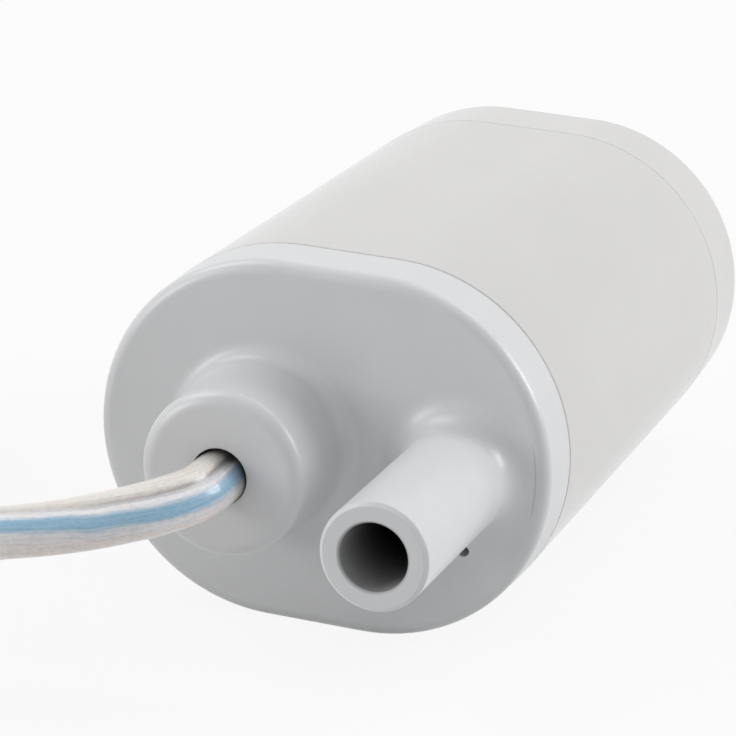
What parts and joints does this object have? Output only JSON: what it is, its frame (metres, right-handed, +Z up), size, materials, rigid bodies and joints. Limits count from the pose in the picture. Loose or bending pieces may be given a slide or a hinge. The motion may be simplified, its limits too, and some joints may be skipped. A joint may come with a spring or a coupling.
{
  "type": "submersible water pump",
  "caption": "Submersible 12 V water pump with an oval body, cable boss, plain hose spigot, self vent, strainer base, brushed motor, impeller and two-core lead.",
  "frame": {"origin": "on the floor under the middle of the pump, which lies on its broad side", "axes": "+Z up; +Y along the pump from the cap with its spigot to the inlet; X across its width"},
  "size_m": [0.1334, 0.0993, 0.0351],
  "materials": {
    "housing_plastic": "moulded, soft gloss, warm light grey",
    "cap_plastic": "moulded, satin, light grey",
    "inner_plastic": "moulded, plain",
    "white_nylon": "moulded, natural",
    "impeller_plastic": "moulded, smooth",
    "ball_plastic": "ground, smooth",
    "black_rubber": "moulded, matt",
    "stainless_steel": "ground",
    "plated_steel": "zinc-plated, drawn",
    "spring_steel": "tempered",
    "core_steel": "stamped laminations",
    "ferrite": "pressed and ground",
    "sintered_bronze": "sintered, oiled",
    "brass": "stamped",
    "copper": "rolled",
    "enamelled_copper": "wound wire, enamelled",
    "tinned_copper": "tinned",
    "carbon": "pressed carbon and copper",
    "ceramic": "dipped",
    "phenolic": "moulded",
    "fibre": "punched",
    "lead_insulation": "extruded PVC",
    "cable_sheath": "extruded PVC, milky, with one blue core"
  },
  "bodies": {
    "pump": {"housing": "housing_plastic", "top_cap": "cap_plastic", "inlet_base": "housing_plastic", "chamber_cover": "inner_plastic", "cover_screws": "stainless_steel", "cap_seal": "black_rubber", "duct_seal": "black_rubber", "cable_grommet": "black_rubber", "motor_can": "plated_steel", "magnet_right": "ferrite", "magnet_left": "ferrite", "magnet_clips": "spring_steel", "end_bell": "white_nylon", "rear_bush": "sintered_bronze", "front_bush": "sintered_bronze", "motor_terminals": "brass", "brush_arms": "copper", "carbon_brushes": "carbon", "suppression_capacitor": "ceramic", "motor_leads": "lead_insulation", "motor_screws": "stainless_steel", "shaft_seal": "black_rubber", "cable_entry": "cable_sheath", "supply_cable": "cable_sheath", "cable_coil": "cable_sheath", "cable_cores": "cable_sheath", "tinned_tips": "tinned_copper"},
    "rotor": {"motor_shaft": "stainless_steel", "rotor_core": "core_steel", "rotor_windings": "enamelled_copper", "commutator": "copper", "commutator_hub": "phenolic", "thrust_washers": "fibre", "impeller": "impeller_plastic"},
    "vent_ball": {"vent_ball": "ball_plastic"}
  },
  "joints": [
    {"name": "rotor_spin", "type": "hinge", "parent": "pump", "child": "rotor", "pos_m": [-0.0056, 0, 0.01755], "axis": [0, 1, 0], "continuous": true},
    {"name": "vent_ball_travel", "type": "slide", "parent": "pump", "child": "vent_ball", "axis": [0, -1, 0], "range_m": [0, 0.001]}
  ]
}
